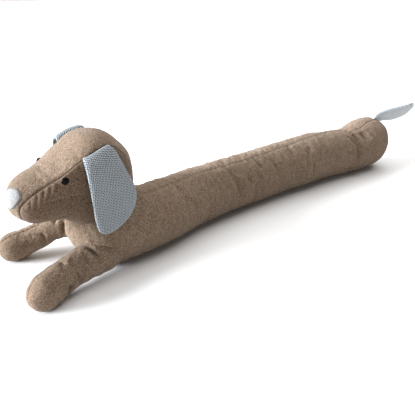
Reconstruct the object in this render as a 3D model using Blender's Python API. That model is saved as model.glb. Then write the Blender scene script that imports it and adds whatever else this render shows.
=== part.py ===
"""A draught excluder sewn as a long, low dachshund, in metres, +Z up, at its real size.

The dog lies along X with its nose towards -X and its left side towards -Y. The origin is on the floor,
in the middle of the flat that the filled body rests on. Every filled piece is one solid: its cloth is
the surface, and its seams and main creases are troughs in that surface. A piece that is sewn to another
is shaped where they meet by the other's form grown by SEWN_GAP.
"""

import math
from collections import namedtuple

import bmesh
import bpy
import numpy as np
from mathutils import Matrix, Vector

MM = 0.001
SEWN_GAP = 0.3 * MM

# --- The body: one wool panel, closed by a seam along the back -------------------------------------

BODY_LENGTH = 722
BODY_FRONT = -385
BODY_AROUND = 32
BODY_RINGS = 72
FRONT_CAP = 46
REAR_CAP = 40
BODY_SEAM_DEPTH = 2.4
BODY_SEAM_HALF = math.radians(6)
BELLY_SINK = 3.2
CHEST_RAKE = 0.33
CHEST_REACH = 70
RUMP_RAKE = 0.15
RUMP_REACH = 70

BodySection = namedtuple("BodySection", "along aside half_width height seam")
BODY_SECTIONS = (
    # mm from the chest's front, mm sideways, mm, mm, degrees from the top towards the left side
    BodySection(0, -20, 46, 92, 16),
    BodySection(39, -22, 48, 95, 16),
    BodySection(129, -21, 47, 96, 16),
    BodySection(226, -4, 46, 92, 16),
    BodySection(321, 1, 46, 90, 18),
    BodySection(416, 0, 46, 92, 15),
    BodySection(511, -4, 48, 96, 9),
    BodySection(589, -13, 46, 93, 4),
    BodySection(614, -17, 46, 93, 16),
    BodySection(661, -19, 50, 103, 14),
    BodySection(701, -19, 50, 103, 8),
    BodySection(722, -18, 48, 100, 6),
)

# A crease runs round the body from one angle to another, both in degrees from the top towards the left
# side. Its far end lies `slant` mm further along the body than its near end.
Crease = namedtuple("Crease", "along start end slant depth width")
BODY_CREASES = (
    Crease(277, 10, 108, 10, 4.6, 9),
    Crease(259, 58, 92, 8, 2.4, 8),
    Crease(263, 96, 130, 4, 2.6, 8),
    Crease(341, 18, 56, 6, 3.0, 8),
    Crease(308, 52, 80, 4, 2.4, 7),
    Crease(329, 52, 80, 12, 2.6, 8),
    Crease(325, 76, 106, 15, 2.4, 8),
    Crease(378, 34, 74, 0, 2.6, 8),
    Crease(431, 14, 54, -6, 2.8, 8),
    Crease(479, 24, 74, -24, 1.8, 9),
    Crease(469, 78, 106, 2, 1.8, 8),
    Crease(165, 16, 68, 0, 1.8, 12),
    Crease(181, 64, 102, 8, 2.0, 11),
    Crease(245, 44, 88, -8, 1.6, 10),
    Crease(601, -30, 66, 6, 5.0, 10),
    Crease(597, 60, 96, 2, 4.0, 9),
    Crease(581, 26, 76, 26, 2.8, 8),
    Crease(617, 26, 58, 20, 3.2, 8),
    Crease(549, -60, -8, -10, 2.4, 10),
    Crease(409, -80, -30, 12, 2.4, 11),
    Crease(289, -90, -34, -10, 2.6, 11),
    Crease(189, -86, -40, 8, 2.0, 11),
    Crease(629, -100, -40, -12, 2.6, 10),
    Crease(509, 120, 160, 8, 1.6, 10),
)

# --- The head: two side panels and one strip from the chin over the crown to the nape ---------------

HEAD_PLACE = (-345, -10, 118)
HEAD_AROUND = 44
PANEL_ROWS = 7
STRIP_ROWS = 3
PANEL_BULGE = 50
PANEL_CENTRE = (-4, 4)
HEAD_SEAM_DEPTH = 1.6

# The seam's outline seen from the side, in mm from HEAD_PLACE, from the chin up over the head and back
# under it. `strip` is half the strip's width, `crown` how far it stands above the seam, and `fall` how
# evenly the side panel slopes from its middle to that place on the seam (a low number is a steady slope).
HeadSeam = namedtuple("HeadSeam", "along above strip crown fall")
HEAD_SEAM = (
    HeadSeam(-92, -24, 15, 2, 1.5),
    HeadSeam(-98, -13, 20, 4, 1.4),
    HeadSeam(-97, -1, 22, 7, 1.3),
    HeadSeam(-88, 9, 24, 14, 1.3),
    HeadSeam(-76, 17, 27, 14, 1.5),
    HeadSeam(-61, 26, 32, 9, 1.9),
    HeadSeam(-47, 34, 37, 6, 2.2),
    HeadSeam(-22, 49, 42, 9, 2.4),
    HeadSeam(0, 58, 42, 14, 2.4),
    HeadSeam(20, 59, 39, 12, 2.4),
    HeadSeam(36, 47, 35, 11, 2.4),
    HeadSeam(46, 31, 32, 12, 2.4),
    HeadSeam(50, 8, 29, 13, 2.4),
    HeadSeam(49, -18, 26, 12, 2.4),
    HeadSeam(43, -48, 20, 6, 2.4),
    HeadSeam(20, -66, 12, 3, 2.4),
    HeadSeam(-8, -66, 8, 2, 2.4),
    HeadSeam(-26, -50, 6, 2, 2.4),
    HeadSeam(-46, -34, 6, 2, 2.2),
    HeadSeam(-72, -28, 9, 3, 1.8),
)

# --- The forelegs: wool tubes, splayed forward on the floor ----------------------------------------

LEG_AROUND = 20
LEG_RINGS = 20
LEG_CAP = 22
LEG_ROOT_CAP = 8
LEG_SINK = 2.0
LEG_SEAM_DEPTH = 1.3
LEG_SEAM_HALF = math.radians(11)

LegSection = namedtuple("LegSection", "along aside half_width base top")
LEFT_LEG = (
    LegSection(-464, -80, 20, 0, 40),
    LegSection(-440, -72, 21, 0, 43),
    LegSection(-412, -63, 19, 3, 45),
    LegSection(-382, -56, 20, 7, 51),
    LegSection(-352, -52, 22, 8, 57),
    LegSection(-320, -32, 22, 18, 64),
)
RIGHT_LEG = (
    LegSection(-462, 65, 18, 0, 37),
    LegSection(-438, 62, 19, 0, 40),
    LegSection(-410, 56, 18, 9, 48),
    LegSection(-380, 46, 20, 22, 60),
    LegSection(-350, 26, 22, 24, 68),
    LegSection(-320, -2, 22, 26, 70),
)

# --- The ears and the tail: twill, sewn in two layers ----------------------------------------------

FLAP_AROUND = 40
FLAP_ROWS = 14
EAR_THICKNESS = 4.4
EAR_SEAM_ROWS = HEAD_SEAM[5:12]
EAR_INSET = 9
EAR_ASIDE = 55
EAR_TOP = 62
EAR_DROP = 104
EAR_SWING = 12
EAR_MIDDLE = (6, 56)
# How high an ear's cloth rolls over its seam, and over how many mm it then turns to hang straight.
EarLie = namedtuple("EarLie", "roll fall")
LEFT_EAR_LIE = EarLie(1, 8)
RIGHT_EAR_LIE = EarLie(13, 11)

EarEdge = namedtuple("EarEdge", "along below")
EAR_EDGE = (
    EarEdge(-20, 14),
    EarEdge(-10, 9),
    EarEdge(2, 5),
    EarEdge(13, 4.5),
    EarEdge(20, 8),
    EarEdge(25, 19),
    EarEdge(31, 35),
    EarEdge(36, 50),
    EarEdge(38, 65),
    EarEdge(34, 80),
    EarEdge(26, 91),
    EarEdge(14, 99),
    EarEdge(0, 105),
    EarEdge(-12, 106),
    EarEdge(-19, 101),
    EarEdge(-22, 88),
    EarEdge(-22, 70),
    EarEdge(-22, 50),
    EarEdge(-22, 30),
)

TAIL_PLACE = (320, -19, 107)
TAIL_LENGTH = 126
TAIL_MIDDLE = (58, 0)
TAIL_SAG = 6
TAIL_ROOT_DROP = 12
TAIL_ROOT_REACH = 36
TAIL_THICKNESS = 15
TAIL_RISE = 2
TAIL_TURN = -10
TAIL_ROLL = 50
TailEdge = namedtuple("TailEdge", "along side")
TAIL_EDGE = (
    TailEdge(-10, 10),
    TailEdge(4, 15),
    TailEdge(34, 18),
    TailEdge(70, 20),
    TailEdge(105, 13),
    TailEdge(TAIL_LENGTH, 0),
    TailEdge(105, -13),
    TailEdge(70, -20),
    TailEdge(34, -18),
    TailEdge(4, -15),
    TailEdge(-10, -10),
)

# --- The face ---------------------------------------------------------------------------------------

EYE_PLACE = (-390, 44, 148)
EYE_DIAMETER = 10
EYE_HEIGHT = 6
EYE_AROUND = 16
EYE_ROWS = 8
PATCH_PLACE = (-450, -4, 127)
PATCH_WIDTH = 24
PATCH_HEIGHT = 24
PATCH_THICKNESS = 1.6
PATCH_REACH = 36
PATCH_AROUND = 16

WOOL_BROWN = (0.36, 0.26, 0.19)
TWILL_BLUE = (0.52, 0.56, 0.60)
FELT_WHITE = (0.86, 0.87, 0.88)
EYE_BLACK = (0.01, 0.009, 0.009)


def clear_scene():
    for thing in list(bpy.data.objects):
        bpy.data.objects.remove(thing, do_unlink=True)


def new_collection(name):
    collection = bpy.data.collections.new(name)
    bpy.context.scene.collection.children.link(collection)
    return collection


def new_material(name, colour, roughness):
    material = bpy.data.materials.new(name)
    material.use_nodes = True
    shader = material.node_tree.nodes["Principled BSDF"]
    shader.inputs["Base Color"].default_value = (*colour, 1.0)
    shader.inputs["Roughness"].default_value = roughness
    shader.inputs["Metallic"].default_value = 0.0
    return material


def column(rows, name):
    return np.array([getattr(row, name) for row in rows], float)


def smooth_read(at, stations, values):
    """Reads a smooth curve through (stations, values): cubic pieces whose slopes come from neighbours."""
    slopes = np.gradient(values, stations)
    i = int(np.clip(np.searchsorted(stations, at) - 1, 0, len(stations) - 2))
    span = stations[i + 1] - stations[i]
    t = min(max((at - stations[i]) / span, 0.0), 1.0)
    start = (1 + 2 * t) * (1 - t) ** 2 * values[i] + t * (1 - t) ** 2 * span * slopes[i]
    end = t * t * (3 - 2 * t) * values[i + 1] + t * t * (t - 1) * span * slopes[i + 1]
    return start + end


def section_at(rows, at):
    """One row, read smoothly between the rows of a table whose first column is the station."""
    stations = column(rows, rows[0]._fields[0])
    return type(rows[0])(*(smooth_read(at, stations, column(rows, name)) for name in rows[0]._fields))


def outline_rows(rows, count):
    """A closed outline's rows, read smoothly at `count` places evenly spaced along it."""
    values = np.array([tuple(row) for row in rows], float)
    looped = np.vstack([values[-2:], values, values[:3]])
    steps = np.linalg.norm(np.diff(looped[:, :2], axis=0), axis=1)
    stations = np.concatenate([[0.0], np.cumsum(steps)])
    first, last = stations[2], stations[len(rows) + 2]
    places = first + (last - first) * np.arange(count) / count
    read = [[smooth_read(at, stations, looped[:, k]) for k in range(values.shape[1])] for at in places]
    return [type(rows[0])(*row) for row in read]


def form_from_sphere(name, around, rows, place_point, location, material, collection):
    """A UV sphere whose points are moved to place_point(row, step): row 0 and row `rows` are its poles."""
    bm = bmesh.new()
    bmesh.ops.create_uvsphere(bm, u_segments=around, v_segments=rows, radius=1.0)
    for vert in bm.verts:
        row = round(rows * math.acos(max(-1.0, min(1.0, vert.co.z))) / math.pi)
        step = round(around * math.atan2(vert.co.y, vert.co.x) / math.tau) % around
        vert.co = Vector(place_point(row, step)) * MM
    bm.normal_update()
    if bm.calc_volume(signed=True) < 0:
        bmesh.ops.reverse_faces(bm, faces=bm.faces)
    mesh = bpy.data.meshes.new(name)
    bm.to_mesh(mesh)
    bm.free()
    mesh.shade_smooth()
    mesh.materials.append(material)
    form = bpy.data.objects.new(name, mesh)
    form.location = Vector(location) * MM
    collection.objects.link(form)
    return form


def grown_copy(form, amount, name, collection):
    """A hidden copy of a form, grown outwards, that shapes what is sewn to it."""
    copy = bpy.data.objects.new(name, form.data.copy())
    copy.matrix_world = Matrix.Translation(form.location)
    grow = copy.modifiers.new("grow", "DISPLACE")
    grow.strength = amount
    grow.mid_level = 0.0
    return hidden(copy, collection)


def hidden(cutter, collection):
    cutter.hide_render = True
    cutter.display_type = "WIRE"
    collection.objects.link(cutter)
    return cutter


def cut(piece, cutter, operation="DIFFERENCE"):
    step = piece.modifiers.new(cutter.name, "BOOLEAN")
    step.object = cutter
    step.operation = operation
    step.solver = "EXACT"


def seam_angles(count, half_groove):
    """`count` steps round a section, in radians, with a step on a seam at 0 and one on either side."""
    rest = np.linspace(half_groove, math.tau - half_groove, count - 1)
    return np.concatenate([[0.0], rest])


def capped(fraction, length, front, rear):
    """How far along a rounded form a ring lies, and how wide it is there (0 at both tips, 1 between)."""
    front_share = 1.5 * front / (length + 0.5 * (front + rear))
    rear_share = 1.5 * rear / (length + 0.5 * (front + rear))
    if fraction < front_share:
        turn = 0.5 * math.pi * fraction / front_share
        return front * (1.0 - math.cos(turn)), math.sin(turn)
    if fraction > 1.0 - rear_share:
        turn = 0.5 * math.pi * (1.0 - fraction) / rear_share
        return length - rear * (1.0 - math.cos(turn)), math.sin(turn)
    middle = (fraction - front_share) / (1.0 - front_share - rear_share)
    return front + (length - front - rear) * middle, 1.0


def crease_depth(along, angle):
    """How far the body's cloth is drawn in (or, beside a crease, stands out) at a place, in mm."""
    depth = 0.0
    for crease in BODY_CREASES:
        across = (angle - crease.start) / (crease.end - crease.start)
        if -0.25 < across < 1.25:
            centre = crease.along + crease.slant * across
            q = ((along - centre) / crease.width) ** 2
            fade = 0.5 - 0.5 * math.cos(math.tau * (across + 0.25) / 1.5)
            depth += crease.depth * fade * (1.0 - 0.9 * q) * math.exp(-q)
    return depth


def make_body(material, collection):
    angles = seam_angles(BODY_AROUND, BODY_SEAM_HALF)

    def place_point(row, step):
        along, width = capped(row / BODY_RINGS, BODY_LENGTH, FRONT_CAP, REAR_CAP)
        section = section_at(BODY_SECTIONS, along)
        angle = angles[step] + math.radians(section.seam)
        turned = (math.degrees(angle) + 180.0) % 360.0 - 180.0
        inward = crease_depth(along, turned) * min(1.0, 1.4 * width)
        if step == 0:
            inward += BODY_SEAM_DEPTH * width
        middle = 0.5 * section.height
        across = (section.half_width - inward) * width * math.sin(angle)
        lift = (middle + BELLY_SINK * (math.cos(angle) < 0) - inward) * width * math.cos(angle)
        rake = RUMP_RAKE * lift * max(0.0, 1.0 - (BODY_LENGTH - along) / RUMP_REACH)
        rake -= CHEST_RAKE * lift * max(0.0, 1.0 - along / CHEST_REACH)
        return (BODY_FRONT + along + rake, section.aside - across, max(0.0, middle + lift))

    return form_from_sphere("body", BODY_AROUND, BODY_RINGS, place_point, (0, 0, 0), material, collection)


def make_head(material, collection):
    outline = outline_rows(HEAD_SEAM, HEAD_AROUND)
    rows = 2 * (PANEL_ROWS + STRIP_ROWS)

    def place_point(row, step):
        seam = outline[step]
        after = outline[(step + 1) % HEAD_AROUND]
        before = outline[step - 1]
        forward = Vector((after.along - before.along, 0.0, after.above - before.above)).normalized()
        outward = Vector((-forward.z, 0.0, forward.x))
        side = 1.0 if row > rows // 2 else -1.0
        from_pole = min(row, rows - row)
        on_seam = Vector((seam.along, 0.0, seam.above))
        if from_pole > PANEL_ROWS:
            share = (rows // 2 - from_pole) / STRIP_ROWS
            point = on_seam + outward * seam.crown * (1.0 - share**2) ** 0.75
            return (point.x, side * seam.strip * share, point.z)
        reach = math.sin(0.5 * math.pi * from_pole / PANEL_ROWS) ** 0.9
        centre = Vector((PANEL_CENTRE[0], 0.0, PANEL_CENTRE[1]))
        point = centre.lerp(on_seam, reach)
        swell = (1.0 - reach**seam.fall) ** 0.5
        if from_pole == PANEL_ROWS:
            point -= outward * HEAD_SEAM_DEPTH
        return (point.x, side * (seam.strip + (PANEL_BULGE - seam.strip) * swell), point.z)

    return form_from_sphere("head", HEAD_AROUND, rows, place_point, HEAD_PLACE, material, collection)


def make_leg(name, sections, material, collection):
    """A foreleg along its own line on the floor, from the rounded foot to its root in the shoulder."""
    xy = np.array([(row.along, row.aside) for row in sections], float)
    steps = np.linalg.norm(np.diff(xy, axis=0), axis=1)
    stations = np.concatenate([[0.0], np.cumsum(steps)])
    angles = seam_angles(LEG_AROUND, LEG_SEAM_HALF)

    def read(at, field):
        return smooth_read(at, stations, column(sections, field))

    def place_point(row, step):
        at, width = capped(row / LEG_RINGS, stations[-1], LEG_CAP, LEG_ROOT_CAP)
        ahead = np.array([read(at + 1, "along") - read(at - 1, "along"),
                          read(at + 1, "aside") - read(at - 1, "aside")])
        ahead /= np.linalg.norm(ahead)
        base = read(at, "base")
        middle = 0.5 * (read(at, "top") - base)
        inward = LEG_SEAM_DEPTH * width if step == 0 else 0.0
        across = (read(at, "half_width") - inward) * width * math.sin(angles[step])
        sink = LEG_SINK if math.cos(angles[step]) < 0 else 0.0
        lift = (middle + sink - inward) * width * math.cos(angles[step])
        x = read(at, "along") + across * ahead[1]
        y = read(at, "aside") - across * ahead[0]
        return (x, y, max(0.0, base + middle + lift))

    return form_from_sphere(name, LEG_AROUND, LEG_RINGS, place_point, (0, 0, 0), material, collection)


def flap_point(edge, centre, row, rows, thickness):
    """A point of a flat two-layer piece: its two poles are the middles of its faces, its edge is sewn."""
    from_pole = min(row, rows - row)
    reach = math.sin(0.5 * math.pi * from_pole / (rows // 2)) ** 0.8
    half = 0.5 * thickness * (1.0 - reach**4) ** 0.5
    side = 1.0 if row > rows // 2 else -1.0
    u = centre[0] + (edge[0] - centre[0]) * reach
    v = centre[1] + (edge[1] - centre[1]) * reach
    return u, v, side * half


def hang(root, hung, lie):
    """An ear's middle layer `hung` mm of cloth below its root in the seam: mm aside, mm above."""
    fallen = hung / lie.fall
    aside = EAR_ASIDE + (root[0] - EAR_ASIDE) * math.exp(-fallen) + EAR_SWING * hung / EAR_DROP
    return np.array([aside, root[1] - hung + lie.roll * fallen * math.exp(1.0 - fallen)])


def make_ear(name, side, lie, material, collection):
    """An ear whose top edge is sewn in the head's seam; it hangs outside the cheek. side is -1 or +1."""
    outline = outline_rows(EAR_EDGE, FLAP_AROUND)

    def place_point(row, step):
        edge = (outline[step].along, outline[step].below)
        along, below, depth = flap_point(edge, EAR_MIDDLE, row, FLAP_ROWS, EAR_THICKNESS)
        seam = section_at(EAR_SEAM_ROWS, along)
        root = (seam.strip - EAR_INSET, seam.above)
        hung = max(0.0, root[1] - (EAR_TOP - below))
        ahead = hang(root, hung + 1.0, lie) - hang(root, hung, lie)
        facing = np.array([-ahead[1], ahead[0]]) / np.linalg.norm(ahead)
        aside, above = hang(root, hung, lie) + depth * facing
        return (along, side * aside, above)

    return form_from_sphere(name, FLAP_AROUND, FLAP_ROWS, place_point, HEAD_PLACE, material, collection)


def make_tail(material, collection):
    outline = outline_rows(TAIL_EDGE, FLAP_AROUND)

    def place_point(row, step):
        edge = (outline[step].along, outline[step].side)
        along, aside, depth = flap_point(edge, TAIL_MIDDLE, row, FLAP_ROWS, TAIL_THICKNESS)
        sag = TAIL_SAG * math.sin(math.pi * min(1.0, max(0.0, along / TAIL_LENGTH)))
        root = max(0.0, 1.0 - along / TAIL_ROOT_REACH)
        return (along, aside, depth - sag - TAIL_ROOT_DROP * root**2)

    tail = form_from_sphere("tail", FLAP_AROUND, FLAP_ROWS, place_point, TAIL_PLACE, material, collection)
    tail.rotation_euler = (math.radians(-TAIL_ROLL), math.radians(-TAIL_RISE), math.radians(TAIL_TURN))
    return tail


def make_eye(name, side, material, collection):
    def place_point(row, step):
        polar = math.pi * row / EYE_ROWS
        angle = math.tau * step / EYE_AROUND
        ring = 0.5 * EYE_DIAMETER * math.sin(polar)
        return (ring * math.cos(angle), 0.5 * EYE_HEIGHT * side * math.cos(polar), ring * math.sin(angle))

    place = (EYE_PLACE[0], HEAD_PLACE[1] + side * EYE_PLACE[1], EYE_PLACE[2])
    return form_from_sphere(name, EYE_AROUND, EYE_ROWS, place_point, place, material, collection)


def make_patch_outline(collection):
    """A column with the nose patch's oval outline, pointing along the muzzle."""
    bm = bmesh.new()
    bmesh.ops.create_cone(bm, cap_ends=True, segments=PATCH_AROUND, radius1=1.0, radius2=1.0, depth=1.0)
    size = Vector((PATCH_HEIGHT / 2, PATCH_WIDTH / 2, PATCH_REACH)) * MM
    bmesh.ops.scale(bm, vec=size, verts=bm.verts)
    mesh = bpy.data.meshes.new("patch_outline")
    bm.to_mesh(mesh)
    bm.free()
    outline = bpy.data.objects.new("patch_outline", mesh)
    place = Vector((PATCH_PLACE[0], HEAD_PLACE[1] + PATCH_PLACE[1], PATCH_PLACE[2])) * MM
    outline.matrix_world = Matrix.Translation(place) @ Matrix.Rotation(math.radians(-90), 4, "Y")
    return hidden(outline, collection)


def make_patch(head, material, collection, cutters):
    """The nose patch: the head's own form grown by the patch's thickness, kept only inside its outline."""
    patch = bpy.data.objects.new("nose_patch", head.data.copy())
    patch.location = head.location
    patch.data.materials.clear()
    patch.data.materials.append(material)
    collection.objects.link(patch)
    grow = patch.modifiers.new("thickness", "DISPLACE")
    grow.strength = SEWN_GAP + PATCH_THICKNESS * MM
    grow.mid_level = 0.0
    cut(patch, make_patch_outline(cutters), "INTERSECT")
    return patch


def main():
    clear_scene()
    dog = new_collection("draught_excluder")
    cutters = new_collection("cutters")
    wool = new_material("wool_brown", WOOL_BROWN, 0.95)
    twill = new_material("twill_blue_grey", TWILL_BLUE, 0.9)
    felt = new_material("felt_white", FELT_WHITE, 0.9)
    gloss = new_material("eye_black", EYE_BLACK, 0.12)

    body = make_body(wool, dog)
    head = make_head(wool, dog)
    legs = [make_leg("foreleg_left", LEFT_LEG, wool, dog), make_leg("foreleg_right", RIGHT_LEG, wool, dog)]
    ears = [make_ear("ear_left", -1, LEFT_EAR_LIE, twill, dog),
            make_ear("ear_right", 1, RIGHT_EAR_LIE, twill, dog)]
    eyes = [make_eye("eye_left", -1, gloss, dog), make_eye("eye_right", 1, gloss, dog)]
    tail = make_tail(twill, dog)
    patch = make_patch(head, felt, dog, cutters)

    body_allowance = grown_copy(body, SEWN_GAP, "body_allowance", cutters)
    head_allowance = grown_copy(head, SEWN_GAP, "head_allowance", cutters)
    for piece in (head, *legs, tail):
        cut(piece, body_allowance)
    for piece in (*legs, *ears, *eyes, patch):
        cut(piece, head_allowance)


main()
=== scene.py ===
"""The looks of the draught excluder: filled wool forms with their seams, creases and puckers,
twill ears and tail, a felt nose and glossy eyes, on a pale floor in soft studio light.

Lengths in the tables are in mm, as in the part's source, unless a comment says otherwise. The
meshes are in metres, in the row frame. Every wool form is a grid of points round a line or an
outline. It is settled as inflated cloth that is held along its seams. Seams, creases and puckers
are then pressed into it along its normals.
A grid's size is (rows, points round it); its first and last rows are single points.
"""

import math
from collections import namedtuple

import bpy
import numpy as np
from mathutils import Matrix, Vector
from mathutils.bvhtree import BVHTree


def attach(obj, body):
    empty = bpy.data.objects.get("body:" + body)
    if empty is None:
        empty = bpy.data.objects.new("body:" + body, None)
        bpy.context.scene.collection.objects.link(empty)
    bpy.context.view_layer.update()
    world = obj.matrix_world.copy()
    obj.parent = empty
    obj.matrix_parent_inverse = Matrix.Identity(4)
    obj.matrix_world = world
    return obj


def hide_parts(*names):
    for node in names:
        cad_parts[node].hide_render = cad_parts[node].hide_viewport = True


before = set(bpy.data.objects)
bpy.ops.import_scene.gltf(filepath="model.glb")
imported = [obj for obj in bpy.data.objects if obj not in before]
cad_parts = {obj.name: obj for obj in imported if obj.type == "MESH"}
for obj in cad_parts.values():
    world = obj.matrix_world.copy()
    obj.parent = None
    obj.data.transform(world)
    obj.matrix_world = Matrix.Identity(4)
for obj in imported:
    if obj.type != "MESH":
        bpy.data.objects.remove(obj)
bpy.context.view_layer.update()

MM = 0.001

# A groove draws cloth in by `depth` along a seam, over about `width` either side of it.
Groove = namedtuple("Groove", "depth width")
# Puckers are folds across a seam, one in about `pitch`, that die out over `reach`.
Puckers = namedtuple("Puckers", "depth pitch reach")
# A wave is a smooth random relief; `stretch` makes it longer along an axis.
Wave = namedtuple("Wave", "height pitch stretch", defaults=[(1, 1, 1)])

# --- The body, as in the part's source -----------------------------------------------------------

BODY_LENGTH = 722
BODY_FRONT = -385
FRONT_CAP = 46
REAR_CAP = 40
BELLY_SINK = 3.2
CHEST_RAKE = 0.33
CHEST_REACH = 70
RUMP_RAKE = 0.15
RUMP_REACH = 70

BODY_GRID = (400, 216)
BODY_CLOTH_GRID = (150, 72)
BODY_RADIUS = 47.0
BODY_BUNCH = 0.72
BODY_SEAM_GRIP = 8.0
BODY_HELD_ROWS = 2
BODY_GROOVES = (Groove(0.7, 0.8), Groove(0.5, 5.0))
BODY_PUCKERS = Puckers(0.3, 7.0, 5.0)
# How dark the seam line is: dark thread with painted shade of its groove.
BODY_THREAD_AND_SHADE = 0.6
BODY_SEED = 3
BODY_WAVES = (Wave(0.6, 74), Wave(0.30, 27, (0.7, 1.3, 1.3)))
# Fine wrinkles, strongest round DRAG_MIDDLE mm along, where the photograph shows most of them.
WRINKLE_SEED = 5
WRINKLES = Wave(0.2, 13, (0.6, 1.6, 1.6))
DRAG_WRINKLES = 0.45
DRAG_MIDDLE = 250
DRAG_REACH = 170.0

BodySection = namedtuple("BodySection", "along aside half_width height seam")
BODY_SECTIONS = (
    BodySection(0, -20, 46, 92, 16),
    BodySection(39, -22, 48, 95, 16),
    BodySection(129, -21, 47, 96, 16),
    BodySection(226, -4, 46, 92, 16),
    BodySection(321, 1, 46, 90, 18),
    BodySection(416, 0, 46, 92, 15),
    BodySection(511, -4, 48, 96, 9),
    BodySection(589, -13, 46, 93, 4),
    BodySection(614, -17, 46, 93, 16),
    BodySection(661, -19, 50, 103, 14),
    BodySection(701, -19, 50, 103, 8),
    BodySection(722, -18, 48, 100, 6),
)

# A crease runs round a form from one angle to another, in degrees from the top towards the left
# side. Its far end lies `slant` mm further along than its near end.
Crease = namedtuple("Crease", "along start end slant depth width")
BODY_CREASES = (
    Crease(277, 10, 108, 10, 4.6, 9),
    Crease(259, 58, 92, 8, 2.4, 8),
    Crease(263, 96, 130, 4, 2.6, 8),
    Crease(341, 18, 56, 6, 3.0, 8),
    Crease(308, 52, 80, 4, 2.4, 7),
    Crease(329, 52, 80, 12, 2.6, 8),
    Crease(325, 76, 106, 15, 2.4, 8),
    Crease(378, 34, 74, 0, 2.6, 8),
    Crease(431, 14, 54, -6, 2.8, 8),
    Crease(479, 24, 74, -24, 1.8, 9),
    Crease(469, 78, 106, 2, 1.8, 8),
    Crease(165, 16, 68, 0, 1.8, 12),
    Crease(181, 64, 102, 8, 2.0, 11),
    Crease(245, 44, 88, -8, 1.6, 10),
    Crease(601, -30, 66, 6, 5.0, 10),
    Crease(597, 60, 100, 2, 5.0, 8),
    Crease(581, 26, 76, 26, 2.8, 8),
    Crease(617, 26, 58, 20, 3.2, 8),
    Crease(549, -60, -8, -10, 2.4, 10),
    Crease(409, -80, -30, 12, 2.4, 11),
    Crease(289, -90, -34, -10, 2.6, 11),
    Crease(189, -86, -40, 8, 2.0, 11),
    Crease(629, -100, -40, -12, 2.6, 10),
    Crease(509, 120, 160, 8, 1.6, 10),
)

# --- The head ------------------------------------------------------------------------------------

HEAD_PLACE = (-345, -10, 118)
PANEL_BULGE = 50
PANEL_CENTRE = (-4, 4)
PANEL_SPREAD = 0.9
CROWN_ROUNDNESS = 0.75

HeadGrid = namedtuple("HeadGrid", "panel_rows strip_rows around")
HEAD_GRID = HeadGrid(60, 36, 400)
HEAD_CLOTH_GRID = HeadGrid(20, 12, 130)
PANEL_GRIP = 14.0
STRIP_GRIP = 12.0
HEAD_GROOVES = (Groove(0.4, 0.6), Groove(0.15, 2.5))
HEAD_SEED = 11
HEAD_WAVES = (Wave(0.5, 52), Wave(0.2, 20))
# Painted shade on the head's side panels fades in over this many mm past the seam.
PAINTED_SHADE_EDGE = 1.5

# The seam gathers the side panels, most of all on the muzzle, and hardly draws on the strip.
GATHER_REACH = 4.5
STRIP_GATHER = 0.12
SEAM_PUCKER = 0.25
SEAM_PUCKER_PITCH = 7.4
MUZZLE_PUCKER = 1.7
MUZZLE_PUCKER_PITCH = 6.4
MUZZLE_PUCKER_SLANT = 0.35
MUZZLE_GATHER = -415
MUZZLE_GATHER_REACH = 20.0
MUZZLE_GATHER_BASE = 118

HeadSeam = namedtuple("HeadSeam", "along above strip crown fall")
HEAD_SEAM = (
    HeadSeam(-89, -23, 15, 1.5, 1.5),
    HeadSeam(-96.5, -13, 20, 5.5, 1.4),
    HeadSeam(-97, -1, 22, 9, 1.3),
    HeadSeam(-88, 9, 24, 16, 1.3),
    HeadSeam(-76, 17, 27, 17, 1.5),
    HeadSeam(-61, 26, 32, 12, 1.9),
    HeadSeam(-47, 34, 37, 8.5, 2.2),
    HeadSeam(-22, 49, 42, 10, 2.4),
    HeadSeam(0, 58, 42, 14, 2.4),
    HeadSeam(20, 59, 39, 12, 2.4),
    HeadSeam(36, 47, 35, 11, 2.4),
    HeadSeam(46, 31, 32, 12, 2.4),
    HeadSeam(50, 8, 29, 13, 2.4),
    HeadSeam(49, -18, 26, 12, 2.4),
    HeadSeam(43, -48, 20, 6, 2.4),
    HeadSeam(20, -66, 12, 3, 2.4),
    HeadSeam(-8, -66, 8, 2, 2.4),
    HeadSeam(-26, -50, 6, 2, 2.4),
    HeadSeam(-46, -34, 6, 2, 2.2),
    HeadSeam(-72, -28, 9, 3, 1.8),
)

# --- The forelegs --------------------------------------------------------------------------------

LEG_CAP = 22
LEG_ROOT_CAP = 8
LEG_SINK = 2.0

LEG_GRID = (210, 132)
LEG_CLOTH_GRID = (52, 40)
LEG_RADIUS = 20.0
LEG_BUNCH = 0.6
LEG_SEAM_GRIP = 3.0
LEG_HELD_ROWS = 3
LEG_GROOVES = (Groove(0.8, 0.8), Groove(0.4, 3.0))
LEG_PUCKERS = Puckers(0.5, 5.5, 4.0)
LEG_WAVES = (Wave(0.6, 40), Wave(0.25, 13))

LegSection = namedtuple("LegSection", "along aside half_width base top")
LEFT_LEG = (
    LegSection(-464, -80, 20, 0, 40),
    LegSection(-440, -72, 21, 0, 45.5),
    LegSection(-412, -63, 19.5, 5, 49.5),
    LegSection(-382, -56, 20.5, 8, 54),
    LegSection(-352, -52, 22, 8, 57),
    LegSection(-320, -32, 22, 18, 64),
)
RIGHT_LEG = (
    LegSection(-462, 65, 18, 0, 37),
    LegSection(-438, 62, 19, 0, 40),
    LegSection(-410, 56, 18, 9, 48),
    LegSection(-380, 46, 20, 22, 60),
    LegSection(-350, 26, 22, 24, 68),
    LegSection(-320, -2, 22, 26, 70),
)
LEFT_LEG_CREASES = (
    Crease(60, 60, 120, 4, 4.6, 4.5),
    Crease(48, 92, 138, -4, 5.0, 5),
    Crease(90, 2, 64, 6, 4.6, 4.5),
    Crease(50, -15, 28, 2, 2.2, 6),
    Crease(70, 50, 110, -4, 2.6, 5),
    Crease(24, 84, 126, 3, 2.0, 6),
    Crease(77, 26, 76, 3, 2.2, 5),
)
RIGHT_LEG_CREASES = (
    Crease(97, -120, -46, 2, 4.0, 6),
    Crease(84, -60, 10, 5, 2.6, 6),
    Crease(66, -112, -60, -4, 2.0, 5),
    Crease(84, 20, 120, 6, 2.4, 7),
)
LEFT_LEG_TURN = -20
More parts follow.
